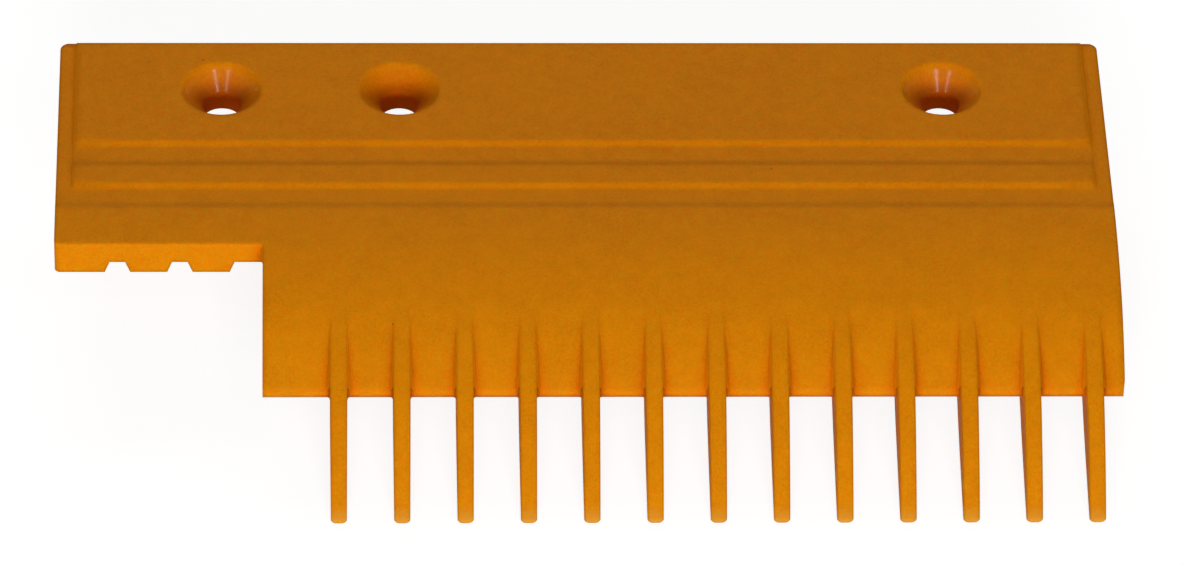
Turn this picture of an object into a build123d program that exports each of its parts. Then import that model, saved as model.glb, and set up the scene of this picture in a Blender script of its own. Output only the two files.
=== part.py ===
from build123d import *

import os
from math import atan2, cos, degrees, radians, sin, tan

# Escalator comb plate, left-end piece, moulded in one.
# Every size is in millimetres and every angle in degrees.
# X runs along the width, +Y towards the back edge, the teeth point to -Y, +Z is up.
# The origin lies on the seat, under the line of the screw holes, at mid width.

# Teeth and the cleats of the steps that pass between them
cleat_pitch = 9.068
tooth_count = 13
tooth_root_width = 2.5
tooth_tip_width = 2.3
tooth_corner_radius = 0.85
tooth_tip_thickness = 0.9
tooth_edge_bevel = 0.25

# Width, from the cut-back stub on the left to the right-hand edge
stub_width = 30.2
first_tooth_inset = 10.95
neighbour_gap = 0.1

# Side section: the flat back, then one long convex bend down to the tooth tips
plate_height = 5.85
flat_length = 37.17
front_radius = 66.0
tooth_tip_tilt = 45.5
valley_start_tilt = 16.5
valley_entry_tilt = 21.0
valley_entry_radius = 12.0
valley_radius = 36.5
lip_tilt = 41.5
lip_thickness = 3.0
lip_edge_radius = 0.5
stub_front_setback = 8.25
web_root_level = 2.2
web_under_rise = 1.6
rib_under_rise = 1.1
flank_draft = 16.0
flank_depth = 2.6
flank_setback = 0.6
root_corner_size = 0.5
rib_overlap = 2.0

# Corners of the outline seen from above
back_corner_radius = 1.5
stub_corner_radius = 0.8
notch_corner_radius = 0.6
left_block_corner_radius = 0.8
right_corner_radius = 1.5
back_edge_radius = 1.0

# Shallow relief behind the front bend: the surface drops at a crease, rises onto a rib, drops into a
# channel and rises onto the panel. The side strips stay as low as the foot of the crease.
# Each place is that of the middle of a sloping wall, counted back from the top of the front bend.
crest_tilt = 0.6
crease_drop = 0.23
crease_slope = 9.0
front_wall_rise = 0.47
front_wall_slope = 32.0
rib_back_drop = 0.31
rib_back_slope = 13.5
wall_rounding = 0.8
rib_foot_rounding = 3.0
rib_front_place = 4.15
rib_back_place = 9.2
panel_front_place = 13.55
strip_width = 2.3
strip_wall_slope = 60.0

# Countersunk screw holes for M5 screws
hole_line_inset = 11.25
hole_inset_left = 24.0
hole_step_short = 26.3
hole_step_long = 80.3
hole_diameter = 5.8
countersink_diameter = 12.0
countersink_angle = 90.0
countersink_rim_radius = 0.5

# Relief grooves in the seat, over the cleats, all shifted a little to the left
groove_width = 3.7
end_groove_width = 4.7
groove_depth = 1.9
groove_length = 18.0
grooves_left_of_teeth = 4
groove_draft = 21.0
groove_shift = 0.3

# Places worked out from the sizes above
last_tooth_margin = cleat_pitch / 2 - neighbour_gap
teeth_span = (tooth_count - 1) * cleat_pitch
plate_width = stub_width + first_tooth_inset + teeth_span + last_tooth_margin
left_x = -plate_width / 2
right_x = plate_width / 2
notch_x = left_x + stub_width
first_tooth_x = notch_x + first_tooth_inset
teeth_middle_x = first_tooth_x + teeth_span / 2
back_y = hole_line_inset
crease_y = back_y - flat_length
stub_front_y = crease_y - stub_front_setback
strip_level = plate_height - crease_drop
rib_level = strip_level + front_wall_rise
channel_level = rib_level - rib_back_drop
panel_level = channel_level + front_wall_rise
first_groove_x = first_tooth_x + cleat_pitch / 2 - grooves_left_of_teeth * cleat_pitch - groove_shift
groove_mouth = 2 * groove_depth * tan(radians(groove_draft))
groove_count = grooves_left_of_teeth + tooth_count - 1
hole_xs = [left_x + hole_inset_left + step for step in (0, hole_step_short, hole_step_short + hole_step_long)]


# A point of the side section, on an arc about a centre, where the surface tilts by this angle
def on_arc(centre, radius, tilt):
    return (centre[0] - radius * sin(radians(tilt)), centre[1] + radius * cos(radians(tilt)))


# The centre of an arc that passes through a point where the surface tilts by this angle
def centre_under(point, radius, tilt):
    return on_arc(point, -radius, tilt)


# The stretch of such an arc between two tilts
def tilt_arc(centre, radius, start_tilt, end_tilt):
    return CenterArc(centre, radius, 90 + start_tilt, end_tilt - start_tilt)


# A slightly bowed line of the underside, its middle lifted off the chord by a rise
def bowed_line(start, end, rise):
    chord = Vector(*end) - Vector(*start)
    across = Vector(-chord.Y, chord.X).normalized()
    middle = Vector(*start) + chord * 0.5 + across * rise
    return ThreePointArc(start, middle, end)


front_centre = (crease_y, plate_height - front_radius)
valley_start = on_arc(front_centre, front_radius, valley_start_tilt)
entry_centre = centre_under(valley_start, valley_entry_radius, valley_start_tilt)
valley_entry = on_arc(entry_centre, valley_entry_radius, valley_entry_tilt)
valley_centre = centre_under(valley_entry, valley_radius, valley_entry_tilt)
lip_top = on_arc(valley_centre, valley_radius, lip_tilt)
lip_bottom = on_arc(valley_centre, valley_radius - lip_thickness, lip_tilt)
lip_down = (0, sin(radians(lip_tilt)), -cos(radians(lip_tilt)))
lip_overhang = sin(radians(lip_tilt)) + cos(radians(lip_tilt)) - 1
lip_front_y = lip_top[0] + lip_edge_radius * lip_overhang
tip_top = on_arc(front_centre, front_radius, tooth_tip_tilt)
tip_bottom = on_arc(front_centre, front_radius - tooth_tip_thickness, tooth_tip_tilt)
rib_root_y = stub_front_y + rib_overlap
flank_end_tilt = degrees(atan2(front_centre[0] - lip_top[0], lip_top[1] - front_centre[1])) - flank_setback

# The relief as points of the side section, from the foot of the crease to the panel
rise_run = front_wall_rise / 2 / tan(radians(front_wall_slope))
drop_run = rib_back_drop / 2 / tan(radians(rib_back_slope))
crest = on_arc(front_centre, front_radius, crest_tilt)
crease_foot_y = crest[0] + (crest[1] - strip_level) / tan(radians(crease_slope))
rib_front_y = crease_y + rib_front_place
rib_back_y = crease_y + rib_back_place
panel_front_y = crease_y + panel_front_place
relief_points = [(crease_foot_y, strip_level),
                 (rib_front_y - rise_run, strip_level), (rib_front_y + rise_run, rib_level),
                 (rib_back_y - drop_run, rib_level), (rib_back_y + drop_run, channel_level),
                 (panel_front_y - rise_run, channel_level), (panel_front_y + rise_run, panel_level)]
strip_start_y = (crease_foot_y + rib_front_y - rise_run) / 2

# One tooth: the rib under the plate, the free prong with its rounded tip, the flared flanks in the
# valleys, and the small filled corners where it leaves the lip
with BuildPart() as tooth:
    with BuildSketch(Plane.YZ.offset(-tooth_root_width / 2)) as tooth_side:
        with BuildLine():
            tilt_arc(front_centre, front_radius, valley_start_tilt, tooth_tip_tilt)
            Line(tip_top, tip_bottom)
            bowed_line((stub_front_y, 0), tip_bottom, rib_under_rise)
            Line((stub_front_y, 0), (rib_root_y, 0))
            Line((rib_root_y, 0), (rib_root_y, web_root_level))
            Line((rib_root_y, web_root_level), valley_start)
        make_face()
    extrude(amount=tooth_root_width)
    tooth_end = tooth.faces().sort_by(Axis.Y)[0]
    fillet(tooth_end.edges().filter_by(Axis.X, reverse=True), tooth_corner_radius)
    tooth_top = tooth.faces().filter_by(lambda face: face.geom_type == GeomType.CYLINDER
                                        and abs(face.radius - front_radius) < tooth_edge_bevel)
    chamfer(tooth_top.edges().sort_by(Axis.Y)[:-1], tooth_edge_bevel)
    with BuildSketch():
        Polygon((-tooth_root_width / 2, rib_root_y), (-tooth_root_width / 2, lip_front_y),
                (-tooth_tip_width / 2, tip_top[0]), (tooth_tip_width / 2, tip_top[0]),
                (tooth_root_width / 2, lip_front_y), (tooth_root_width / 2, rib_root_y), align=None)
    extrude(amount=plate_width, both=True, mode=Mode.INTERSECT)
    radial_plane = Plane(origin=(0, *front_centre), x_dir=(1, 0, 0),
                         z_dir=(0, -cos(radians(valley_start_tilt)), -sin(radians(valley_start_tilt))))
    flank_top = front_radius - 1.5 * tooth_edge_bevel
    flank_root = front_radius - flank_depth
    flank_root_half = tooth_root_width / 2 + (flank_top - flank_root) * tan(radians(flank_draft))
    with BuildSketch(radial_plane):
        Polygon((-tooth_root_width / 2, flank_top), (tooth_root_width / 2, flank_top),
                (flank_root_half, flank_root), (-flank_root_half, flank_root), align=None)
    revolve(axis=Axis((0, *front_centre), (1, 0, 0)), revolution_arc=flank_end_tilt - valley_start_tilt)
    root_half = tooth_root_width / 2
    root_bend = root_corner_size / 4
    with BuildSketch(Plane(origin=(0, *lip_top), x_dir=(1, 0, 0), z_dir=lip_down).offset(lip_edge_radius)):
        for side in (-1, 1):
            Polygon((0, -rib_overlap), (side * (root_half + root_corner_size), -rib_overlap),
                    (side * (root_half + root_corner_size), 0), (side * (root_half + root_bend), root_bend),
                    (side * root_half, root_corner_size), (0, root_corner_size), align=None)
    extrude(amount=lip_thickness - 2 * lip_edge_radius)

# The plate: its side section across the whole width, trimmed to the outline seen from above
with BuildPart() as comb_plate:
    with BuildSketch(Plane.YZ.offset(left_x)) as section:
        with BuildLine():
            Polyline(crest, *relief_points, (back_y, panel_level), (back_y, 0),
                     (stub_front_y, 0), (stub_front_y, web_root_level))
            bowed_line((stub_front_y, web_root_level), lip_bottom, web_under_rise)
            Line(lip_bottom, lip_top)
            tilt_arc(valley_centre, valley_radius, valley_entry_tilt, lip_tilt)
            tilt_arc(entry_centre, valley_entry_radius, valley_start_tilt, valley_entry_tilt)
            tilt_arc(front_centre, front_radius, crest_tilt, valley_start_tilt)
        make_face()
        back_corner = section.vertices().group_by(Axis.X)[-1].sort_by(Axis.Y)[-1]
        fillet(back_corner, back_edge_radius)
        for wall_ends, rounding in ((relief_points[1:4] + relief_points[5:7], wall_rounding),
                                    (relief_points[:1] + relief_points[4:5], rib_foot_rounding)):
            for wall_end in wall_ends:
                fillet(section.vertices().sort_by_distance(wall_end)[0], rounding)
        lip_corners = section.vertices().sort_by(Axis.X)[:2]
        fillet(lip_corners, lip_edge_radius)
    extrude(amount=plate_width)

    with BuildSketch() as outline:
        with BuildLine():
            Polyline((left_x, back_y), (left_x, stub_front_y), (notch_x, stub_front_y),
                     (notch_x, lip_front_y), (right_x, lip_front_y), (right_x, back_y), close=True)
        make_face()
        fillet(outline.vertices().group_by(Axis.Y)[-1], back_corner_radius)
        for corner, radius in (((left_x, stub_front_y), stub_corner_radius),
                               ((notch_x, stub_front_y), notch_corner_radius),
                               ((notch_x, lip_front_y), left_block_corner_radius),
                               ((right_x, lip_front_y), right_corner_radius)):
            fillet(outline.vertices().sort_by_distance(corner)[0], radius)
    extrude(amount=plate_width, both=True, mode=Mode.INTERSECT)

    # The teeth, one pitch apart
    with Locations((teeth_middle_x, 0, 0)):
        with GridLocations(cleat_pitch, 1, tooth_count, 1):
            add(tooth.part)

    # The two side strips, cut down beside the rib and the panel
    with BuildSketch(Plane.XY.offset(strip_level)):
        with Locations((left_x, strip_start_y), (right_x, strip_start_y)):
            Rectangle(2 * strip_width, 2 * flat_length, align=(Align.CENTER, Align.MIN))
    extrude(amount=plate_height, taper=strip_wall_slope - 90, mode=Mode.SUBTRACT)

    # Countersunk screw holes with a soft rim
    with Locations(*[(x, 0, panel_level) for x in hole_xs]):
        CounterSinkHole(hole_diameter / 2, countersink_diameter / 2, counter_sink_angle=countersink_angle)
    fillet(comb_plate.edges().group_by(Axis.Z)[-1].filter_by(GeomType.CIRCLE), countersink_rim_radius)

    # Grooves under the seat, open at its front face, and one that runs out to the notch
    with BuildSketch():
        for groove in range(groove_count):
            with Locations((first_groove_x + groove * cleat_pitch, stub_front_y - groove_mouth)):
                Rectangle(groove_width, groove_mouth + groove_length, align=(Align.CENTER, Align.MIN))
        with Locations((notch_x + groove_mouth, stub_front_y - groove_mouth)):
            Rectangle(end_groove_width + groove_mouth, groove_mouth + groove_length,
                      align=(Align.MAX, Align.MIN))
    extrude(amount=groove_depth, taper=groove_draft, mode=Mode.SUBTRACT)

comb_plate.part.label = "comb_plate"
os.makedirs("parts", exist_ok=True)
export_step(comb_plate.part, "parts/comb_plate.step")
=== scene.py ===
from math import cos, pi, radians, sin

import bmesh
import bpy
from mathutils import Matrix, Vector


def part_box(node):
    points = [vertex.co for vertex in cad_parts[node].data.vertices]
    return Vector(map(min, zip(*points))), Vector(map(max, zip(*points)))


# Sizes and places are in millimetres, in the frame of the part, and angles in degrees.
MM = 0.001

# The camera, solved from the photograph's outline
PHOTO_WIDTH = 1183
FOCAL_LENGTH_PIXELS = 8461
SENSOR_WIDTH = 36.0
NEAR_CLIP = 10.0
CAMERA_PLACE = (-40.13, -963.28, 806.04)
CAMERA_TURN = (49.0, -1.22, -1.463)

# The lamps as name: azimuth (0 in front, + to the right), elevation, width, height, watts
LAMP_DISTANCE = 1200.0
LAMPS = {
    "front_soft_box": (-0.5, 18.5, 500.0, 340.0, 13.0),
    "back_soft_box": (180.0, 35.0, 1000.0, 500.0, 5.4),
    "left_strip": (-30.0, 48.0, 90.0, 300.0, 0.5),
    "right_strip": (22.0, 48.0, 90.0, 300.0, 0.8),
}
ROOM_COLOR = (1.0, 0.98, 0.95, 1.0)
ROOM_LIGHT = 0.08

# The pale floor and the low wall that it runs up to
FLOOR_GAP = 0.1
FLOOR_RADIUS = 6000.0
COVE_RADIUS = 800.0
COVE_STEPS = 8
WALL_HEIGHT = 900.0
TURN_STEPS = 64
WELD_DISTANCE = 0.1
FLOOR_COLOR = (0.62, 0.617, 0.61, 1.0)
FLOOR_SEEN_COLOR = (0.27, 0.268, 0.265, 1.0)
FLOOR_SEEN_GLOW = 0.86

# The countersunk holes: their places along X, the polished ones, and the radii and heights of each
HOLE_XS = (-53.2, -26.9, 53.4)
POLISHED_HOLES = (HOLE_XS[0], HOLE_XS[2])
HOLE_RADIUS, CONE_RADIUS, BORE_RADIUS = 6.3, 5.3, 2.95
HOLE_RIM = 0.1
CONE_LOW, CONE_HIGH = 3.15, 6.2
POLISH = 0.7
POLISH_RIM, POLISH_FOOT = 0.15, 0.05

# The teeth, one cleat pitch apart, and where the surface left of the first one is plain again
CLEAT_PITCH = 9.068
FIRST_TOOTH_X = -36.05
PLAIN_LEFT = (-3.5, -4.0)

# Where masks fade, as (off, on): along Y, then away from mid width, then away from a tooth
BACK_FADE = (-55.0, -15.0)
FLAT_FADE = (-30.0, -27.0)
VALLEY_FADE = (-40.0, -45.0)
FLANK_FADE = (-45.0, -55.5)
LIP_FADE = (-57.4, -56.2)
WEB_FADE = (-58.5, -57.5)
STRIP_FADE, END_FADE = (69.0, 72.0), (76.4, 75.4)
TOOTH_SIDE_FADE, PAST_FLANK_FADE = (1.15, 1.3), (1.6, 3.4)
TIP_LENGTH = 1.5

# Colours of the amber plastic, with the painted light on sideways faces and the painted highlight at the
# tips of the teeth. The tints are multiplied in; those of recesses, cones, bores and flanks are painted
# shade.
PLASTIC_LIGHT = (0.815, 0.2415, 0.001, 1.0)
PLASTIC_DARK = (0.745, 0.209, 0.001, 1.0)
FLECK_COLOR = (0.745, 0.293, 0.003, 1.0)
SPECK_COLOR = (0.16, 0.05, 0.008, 1.0)
SIDE_LIGHT_COLOR = (1.0, 0.30, 0.002, 1.0)
TIP_HIGHLIGHT_COLOR = (0.70, 0.32, 0.035, 1.0)
BACK_TINT = (1.0, 0.925, 1.0, 1.0)
RECESS_SHADE_TINT = (0.94, 0.62, 0.5, 1.0)
CONE_SHADE_TINT = (0.79, 0.53, 0.6, 1.0)
BORE_SHADE_TINT = (1.0, 0.68, 0.6, 1.0)
FLANK_SHADOW_TINT = (1.0, 0.86, 0.7, 1.0)
GRAIN_LIGHT, GRAIN_DARK = (1.0, 1.0, 1.0, 1.0), (0.88, 0.88, 0.88, 1.0)

# How strongly some of them show
TIP_HIGHLIGHT_AMOUNT, SIDE_LIGHT_AMOUNT, SPECK_AMOUNT = 0.7, 0.8, 0.75
RECESS_SHADE_AT_LIP = 0.2
SIDE_LIGHT_LOST_ON_FLANK = 0.3

# The noises as name: size of the blobs, detail, roughness and shift
NOISES = {
    "clouds": (9.0, 4.0, 0.5, (0.0, 0.0, 0.0)),
    "patches": (2.2, 2.0, 0.5, (3.0, 1.0, 2.0)),
    "grain": (0.55, 3.0, 0.6, (0.0, 0.0, 0.0)),
    "flecks": (0.45, 2.0, 0.5, (1.0, 2.0, 3.0)),
    "fine": (0.28, 2.0, 0.5, (0.0, 0.0, 0.0)),
    "pores": (0.18, 1.0, 0.5, (0.0, 0.0, 0.0)),
}
SHARP_NOISE, SOFT_NOISE = (0.35, 0.65), (0.30, 0.70)
CLOUD_AMOUNT, GRAIN_AMOUNT, FLECK_AMOUNT, FINE_AMOUNT, PATCH_AMOUNT = 0.55, 0.45, 0.8, 1.0, 0.6

# Dark specks: the size of their cells, their radius as a share of it, and which cells have one
SPECK_CELL = 5.5
SPECK_EDGE = (0.035, 0.018)
SPECK_CHOICE = (0.80, 0.82)

# What tells where shade is painted in recesses and at the foot of a cone, where light is painted on sides,
# and how edges round
OPENNESS_REACH, OPENNESS_FADE = 4.0, (0.90, 0.50)
SIDEWAYS_FADE = (0.78, 0.86)
CONE_FOOT_FADE = (CONE_LOW - 0.3, CONE_LOW + 0.3)
EDGE_RADIUS, SOFT_EDGE_RADIUS = 0.9, 1.8
SHADER_SAMPLES = 8

# Gloss, bump and scattering of light under the surface
ROUGHNESS = (0.50, 0.62)
BUMP_STRENGTH, BUMP_DEPTH, PORE_SHARE = 0.16, 0.08, 0.5
COAT_ROUGHNESS = 0.18
REFRACTION = 1.46
SPECULAR_LEVEL = 0.02
SCATTER_WEIGHT, SCATTER_RADIUS, SCATTER_SCALE = 0.3, (1.0, 0.35, 0.08), 0.8


def metres(*values):
    """A point given in millimetres, as Blender has it."""
    return Vector(values) * MM


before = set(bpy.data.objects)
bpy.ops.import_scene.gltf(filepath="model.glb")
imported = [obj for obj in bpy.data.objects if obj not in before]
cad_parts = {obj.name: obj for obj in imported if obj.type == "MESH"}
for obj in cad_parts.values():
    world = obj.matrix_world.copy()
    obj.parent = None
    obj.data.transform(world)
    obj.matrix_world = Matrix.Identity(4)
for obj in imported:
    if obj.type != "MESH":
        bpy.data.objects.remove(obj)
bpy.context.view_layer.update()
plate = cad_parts["comb_plate"]
plate_low, plate_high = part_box("comb_plate")


# Node trees
def feed(tree, socket, value):
    """Link the socket to the output of another node, or set its value."""
    if isinstance(value, bpy.types.NodeSocket):
        tree.links.new(value, socket)
    else:
        socket.default_value = value


def add_node(tree, kind, settings=None, **inputs):
    """A new node; inputs are values, or outputs of other nodes to link."""
    node = tree.nodes.new(kind)
    for name, value in (settings or {}).items():
        setattr(node, name, value)
    for name, value in inputs.items():
        feed(tree, node.inputs[name.replace("_", " ")], value)
    return node


def math_node(tree, operation, *values, clamp=False):
    node = add_node(tree, "ShaderNodeMath", {"operation": operation, "use_clamp": clamp})
    for socket, value in zip(node.inputs, values):
        feed(tree, socket, value)
    return node.outputs[0]


def product(tree, first, second):
    return math_node(tree, "MULTIPLY", first, second)


def difference(tree, first, second):
    """First minus second, and never below 0 or above 1."""
    return math_node(tree, "SUBTRACT", first, second, clamp=True)


def remap(tree, value, span, low=0.0, high=1.0):
    """Low at the span's first number, high at its second, and in between a straight ramp."""
    node = add_node(tree, "ShaderNodeMapRange", Value=value)
    for name, number in (("From Min", span[0]), ("From Max", span[1]), ("To Min", low), ("To Max", high)):
        node.inputs[name].default_value = number
    return node.outputs["Result"]


def fade(tree, place, span, low=0.0, high=1.0):
    """Remap a place or a distance, with its span in millimetres."""
    return remap(tree, place, [edge * MM for edge in span], low, high)


def mix_colors(tree, factor, first, second, blend="MIX"):
    node = add_node(tree, "ShaderNodeMix", {"data_type": "RGBA", "blend_type": blend})
    for index, value in ((0, factor), (6, first), (7, second)):
        feed(tree, node.inputs[index], value)
    return node.outputs[2]


def tint(tree, factor, color, by):
    """Multiply a colour by a tint, as far as the factor says."""
    return mix_colors(tree, factor, color, by, blend="MULTIPLY")


def split_axes(tree, vector):
    axes = add_node(tree, "ShaderNodeSeparateXYZ", Vector=vector)
    return [axes.outputs[name] for name in "XYZ"]


def noise(tree, place, name):
    """One of the named noises, from 0 to 1."""
    size, detail, roughness, shift = NOISES[name]
    moved = add_node(tree, "ShaderNodeVectorMath", {"operation": "ADD"}, Vector=place)
    moved.inputs[1].default_value = shift
    node = add_node(tree, "ShaderNodeTexNoise", Vector=moved.outputs["Vector"], Scale=1 / (size * MM),
                    Detail=detail, Roughness=roughness)
    return node.outputs["Fac"]


def new_material(name):
    material = bpy.data.materials.new(name)
    material.use_nodes = True
    material.node_tree.nodes.clear()
    return material, material.node_tree


# Masks that say where on the plate a place is
def near_holes(tree, x, y, hole_xs, radius):
    """1 closer than this radius to the middle line of one of these holes, and 0 elsewhere."""
    mask = 0.0
    for hole_x in hole_xs:
        across = math_node(tree, "SUBTRACT", x, hole_x * MM)
        around = add_node(tree, "ShaderNodeCombineXYZ", X=across, Y=y)
        distance = add_node(tree, "ShaderNodeVectorMath", {"operation": "LENGTH"},
                            Vector=around.outputs[0]).outputs["Value"]
        inside = fade(tree, distance, (radius + HOLE_RIM, radius))
        mask = math_node(tree, "ADD", inside, mask)
    return mask


def polished_mask(tree, x, y, z):
    """The polish of the cones of the polished holes, and 0 elsewhere."""
    below_top = fade(tree, z, (CONE_HIGH, CONE_HIGH - POLISH_RIM))
    above_bore = fade(tree, z, (CONE_LOW, CONE_LOW + POLISH_FOOT), 0.0, POLISH)
    in_cones = near_holes(tree, x, y, POLISHED_HOLES, CONE_RADIUS)
    return product(tree, in_cones, product(tree, below_top, above_bore))


def distance_from_tooth(tree, x):
    """How far a place is from the middle of the nearest tooth, sideways."""
    shifted = math_node(tree, "SUBTRACT", x, (FIRST_TOOTH_X - CLEAT_PITCH / 2) * MM)
    in_pitch = math_node(tree, "FLOORED_MODULO", shifted, CLEAT_PITCH * MM)
    distance = math_node(tree, "ABSOLUTE", math_node(tree, "SUBTRACT", in_pitch, CLEAT_PITCH / 2 * MM))
    outside = fade(tree, x, [FIRST_TOOTH_X + step for step in PLAIN_LEFT], 0.0, CLEAT_PITCH * MM)
    return math_node(tree, "ADD", distance, outside)


def valley_masks(tree, x, y):
    """The valleys between the teeth, and the strip beside each tooth in them where shadow is painted."""
    from_tooth = distance_from_tooth(tree, x)
    on_web = product(tree, fade(tree, y, WEB_FADE), fade(tree, from_tooth, TOOTH_SIDE_FADE))
    in_valley = product(tree, on_web, fade(tree, y, VALLEY_FADE))
    beside = difference(tree, fade(tree, y, FLANK_FADE), fade(tree, from_tooth, PAST_FLANK_FADE))
    flank_shadow = product(tree, product(tree, beside, on_web), fade(tree, y, LIP_FADE))
    return in_valley, flank_shadow


# Amber moulded plastic, in layers, some of them painted light and shade
def mottled_amber(tree, place, grain):
    """Clouds and grain between two ambers, yellower flecks, and fine and coarse shade."""
    clouds = remap(tree, noise(tree, place, "clouds"), SHARP_NOISE, high=CLOUD_AMOUNT)
    grains = remap(tree, grain, SOFT_NOISE, high=GRAIN_AMOUNT)
    mottling = math_node(tree, "ADD", clouds, grains, clamp=True)
    color = mix_colors(tree, mottling, PLASTIC_LIGHT, PLASTIC_DARK)
    flecks = remap(tree, noise(tree, place, "flecks"), SHARP_NOISE, high=FLECK_AMOUNT)
    color = mix_colors(tree, flecks, color, FLECK_COLOR)
    for name, amount in (("fine", FINE_AMOUNT), ("patches", PATCH_AMOUNT)):
        shade = mix_colors(tree, remap(tree, noise(tree, place, name), SOFT_NOISE, high=amount),
                           GRAIN_LIGHT, GRAIN_DARK)
        color = tint(tree, 1.0, color, shade)
    return color


def color_ends(tree, color, y):
    """A little redder towards the back edge, and paler at the tips of the teeth, a painted highlight."""
    color = tint(tree, fade(tree, y, BACK_FADE), color, BACK_TINT)
    tip_highlight = remap(tree, y, (plate_low.y + TIP_LENGTH * MM, plate_low.y), high=TIP_HIGHLIGHT_AMOUNT)
    return mix_colors(tree, tip_highlight, color, TIP_HIGHLIGHT_COLOR)


def paint_recess_shade(tree, color, y):
    """Painted shade: darker and redder where the surface faces itself, but much less so past the lip."""
    openness = add_node(tree, "ShaderNodeAmbientOcclusion", {"samples": SHADER_SAMPLES, "only_local": True},
                        Distance=OPENNESS_REACH * MM).outputs["AO"]
    recess_shade = product(tree, remap(tree, openness, OPENNESS_FADE), fade(tree, y, LIP_FADE, low=RECESS_SHADE_AT_LIP))
    return tint(tree, recess_shade, color, RECESS_SHADE_TINT)


def paint_hole_shade(tree, color, x, y, z, by_hole):
    """Painted shade: darker and redder down the cones and in the bores."""
    above_bore = fade(tree, z, CONE_FOOT_FADE)
    cone_shade = product(tree, above_bore, fade(tree, z, (CONE_HIGH, CONE_LOW)))
    color = tint(tree, product(tree, by_hole, cone_shade), color, CONE_SHADE_TINT)
    below_cone = math_node(tree, "SUBTRACT", 1.0, above_bore)
    bore_shade = product(tree, near_holes(tree, x, y, HOLE_XS, BORE_RADIUS), below_cone)
    return tint(tree, bore_shade, color, BORE_SHADE_TINT)


def paint_side_light(tree, color, by_hole, flank_shadow):
    """Painted light: faces that look sideways are made brighter, apart from the holes."""
    facing = add_node(tree, "ShaderNodeNewGeometry").outputs["True Normal"]
    sideways = math_node(tree, "ABSOLUTE", split_axes(tree, facing)[0])
    side = remap(tree, sideways, SIDEWAYS_FADE, high=SIDE_LIGHT_AMOUNT)
    side = difference(tree, side, by_hole)
    side = difference(tree, side, product(tree, flank_shadow, SIDE_LIGHT_LOST_ON_FLANK))
    return mix_colors(tree, side, color, SIDE_LIGHT_COLOR)


def add_specks(tree, color, place):
    """Dark specks, each in a cell of its own. About one cell in five has one."""
    cells = add_node(tree, "ShaderNodeTexVoronoi", Vector=place, Scale=1 / (SPECK_CELL * MM))
    dot = remap(tree, cells.outputs["Distance"], SPECK_EDGE)
    cell_value = add_node(tree, "ShaderNodeSeparateColor", Color=cells.outputs["Color"]).outputs[0]
    chosen = remap(tree, cell_value, SPECK_CHOICE, high=SPECK_AMOUNT)
    return mix_colors(tree, product(tree, dot, chosen), color, SPECK_COLOR)


def rounded_edges(tree, x, y, in_valley):
    """Normals that round the edges, more so on the walls of the side strips and in the valleys."""
    from_middle = math_node(tree, "ABSOLUTE", x)
    on_strip_wall = product(tree, fade(tree, from_middle, STRIP_FADE), fade(tree, from_middle, END_FADE))
    softness = math_node(tree, "MULTIPLY_ADD", on_strip_wall, fade(tree, y, FLAT_FADE), in_valley)
    radius = remap(tree, softness, (0.0, 1.0), EDGE_RADIUS * MM, SOFT_EDGE_RADIUS * MM)
    return add_node(tree, "ShaderNodeBevel", {"samples": SHADER_SAMPLES}, Radius=radius).outputs["Normal"]


def moulded_plastic():
    """The plastic of the whole plate, with painted light and shade in its colour, from its object
    coordinates and its shape alone.
    """
    material, tree = new_material("moulded_plastic")
    place = add_node(tree, "ShaderNodeTexCoord").outputs["Object"]
    x, y, z = split_axes(tree, place)
    grain = noise(tree, place, "grain")
    by_hole = near_holes(tree, x, y, HOLE_XS, HOLE_RADIUS)
    in_valley, flank_shadow = valley_masks(tree, x, y)

    color = mottled_amber(tree, place, grain)
    color = color_ends(tree, color, y)
    color = paint_recess_shade(tree, color, y)
    color = paint_hole_shade(tree, color, x, y, z, by_hole)
    # Painted shadow beside each tooth, in the valleys
    color = tint(tree, flank_shadow, color, FLANK_SHADOW_TINT)
    color = paint_side_light(tree, color, by_hole, flank_shadow)
    color = add_specks(tree, color, place)

    bump_height = math_node(tree, "ADD", grain, product(tree, noise(tree, place, "pores"), PORE_SHARE))
    bump = add_node(tree, "ShaderNodeBump", Height=bump_height, Normal=rounded_edges(tree, x, y, in_valley),
                    Strength=BUMP_STRENGTH, Distance=BUMP_DEPTH * MM)
    shader = add_node(tree, "ShaderNodeBsdfPrincipled", Base_Color=color,
                      Roughness=remap(tree, grain, SOFT_NOISE, *ROUGHNESS), Normal=bump.outputs["Normal"],
                      Coat_Weight=polished_mask(tree, x, y, z), Coat_Roughness=COAT_ROUGHNESS,
                      IOR=REFRACTION, Specular_IOR_Level=SPECULAR_LEVEL, Subsurface_Weight=SCATTER_WEIGHT,
                      Subsurface_Radius=SCATTER_RADIUS, Subsurface_Scale=SCATTER_SCALE * MM)
    output = add_node(tree, "ShaderNodeOutputMaterial")
    tree.links.new(shader.outputs[0], output.inputs["Surface"])
    return material


plate.data.materials.clear()
plate.data.materials.append(moulded_plastic())


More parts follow.
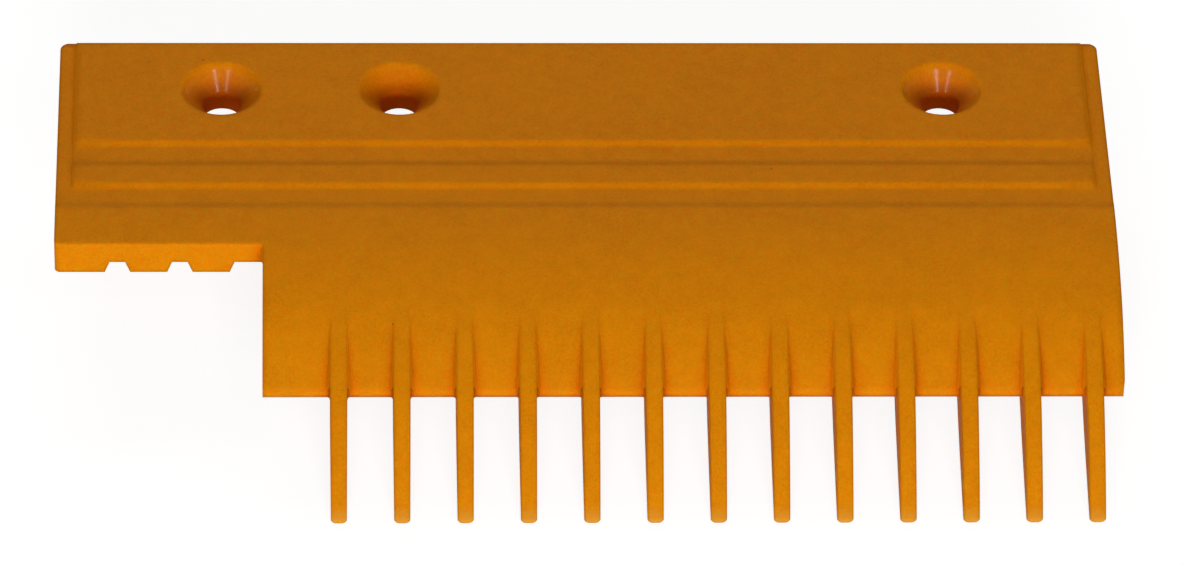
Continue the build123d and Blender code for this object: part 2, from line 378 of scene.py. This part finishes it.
# The floor is near white to the eye and keeps a soft shadow
def floor_material():
    material, tree = new_material("pale_floor")
    path = add_node(tree, "ShaderNodeLightPath")
    seen = math_node(tree, "ADD", path.outputs["Is Camera Ray"], path.outputs["Is Glossy Ray"], clamp=True)
    seen = math_node(tree, "ADD", seen, path.outputs["Is Transmission Ray"], clamp=True)
    plain = add_node(tree, "ShaderNodeBsdfDiffuse", Color=FLOOR_COLOR)
    dim = add_node(tree, "ShaderNodeBsdfDiffuse", Color=FLOOR_SEEN_COLOR)
    glow = add_node(tree, "ShaderNodeEmission", Strength=FLOOR_SEEN_GLOW)
    bright = tree.nodes.new("ShaderNodeAddShader")
    tree.links.new(dim.outputs[0], bright.inputs[0])
    tree.links.new(glow.outputs[0], bright.inputs[1])
    mix = tree.nodes.new("ShaderNodeMixShader")
    tree.links.new(seen, mix.inputs[0])
    tree.links.new(plain.outputs[0], mix.inputs[1])
    tree.links.new(bright.outputs[0], mix.inputs[2])
    output = add_node(tree, "ShaderNodeOutputMaterial")
    tree.links.new(mix.outputs[0], output.inputs["Surface"])
    return material


def floor_profile():
    """From the middle of the disc out, up the curved rim, to the top of the wall."""
    level = plate_low.z / MM - FLOOR_GAP
    profile = [(0.0, level)]
    for step in range(COVE_STEPS + 1):
        turn = step / COVE_STEPS * pi / 2
        profile.append((FLOOR_RADIUS - COVE_RADIUS + COVE_RADIUS * sin(turn),
                        level + COVE_RADIUS * (1 - cos(turn))))
    profile.append((FLOOR_RADIUS, level + WALL_HEIGHT))
    return profile


def make_floor():
    """A wide disc whose rim curves up into a low wall."""
    mesh = bmesh.new()
    points = [mesh.verts.new(metres(radius, 0, height)) for radius, height in floor_profile()]
    edges = [mesh.edges.new(pair) for pair in zip(points, points[1:])]
    bmesh.ops.spin(mesh, geom=points + edges, axis=(0, 0, 1), cent=(0, 0, 0), angle=2 * pi,
                   steps=TURN_STEPS, use_merge=True, use_duplicate=False)
    bmesh.ops.remove_doubles(mesh, verts=mesh.verts, dist=WELD_DISTANCE * MM)
    bmesh.ops.recalc_face_normals(mesh, faces=mesh.faces)
    data = bpy.data.meshes.new("floor")
    mesh.to_mesh(data)
    mesh.free()
    for face in data.polygons:
        face.use_smooth = True
    floor = bpy.data.objects.new("floor", data)
    floor.data.materials.append(floor_material())
    bpy.context.scene.collection.objects.link(floor)


make_floor()


# Lamps and the dim light of the room
def make_lamp(name, azimuth, elevation, width, height, power):
    data = bpy.data.lights.new(name, "AREA")
    data.shape = "RECTANGLE"
    data.size = width * MM
    data.size_y = height * MM
    data.energy = power
    lamp = bpy.data.objects.new(name, data)
    side, up = radians(azimuth), radians(elevation)
    towards = Vector((sin(side) * cos(up), -cos(side) * cos(up), sin(up)))
    lamp.location = (plate_low + plate_high) / 2 + towards * LAMP_DISTANCE * MM
    lamp.rotation_mode = "QUATERNION"
    lamp.rotation_quaternion = towards.to_track_quat("Z", "Y")
    lamp.visible_camera = False
    bpy.context.scene.collection.objects.link(lamp)


for lamp_name, lamp_settings in LAMPS.items():
    make_lamp(lamp_name, *lamp_settings)

room = bpy.data.worlds.new("room")
room.use_nodes = True
room.node_tree.nodes["Background"].inputs["Color"].default_value = ROOM_COLOR
room.node_tree.nodes["Background"].inputs["Strength"].default_value = ROOM_LIGHT
bpy.context.scene.world = room


def make_camera():
    data = bpy.data.cameras.new("camera")
    data.sensor_width = SENSOR_WIDTH
    data.lens = FOCAL_LENGTH_PIXELS / PHOTO_WIDTH * SENSOR_WIDTH
    data.clip_start = NEAR_CLIP * MM
    data.clip_end = 2 * FLOOR_RADIUS * MM
    camera = bpy.data.objects.new("camera", data)
    camera.location = metres(*CAMERA_PLACE)
    camera.rotation_euler = [radians(turn) for turn in CAMERA_TURN]
    bpy.context.scene.collection.objects.link(camera)
    bpy.context.scene.camera = camera


make_camera()
bpy.context.scene.view_settings.view_transform = "Standard"
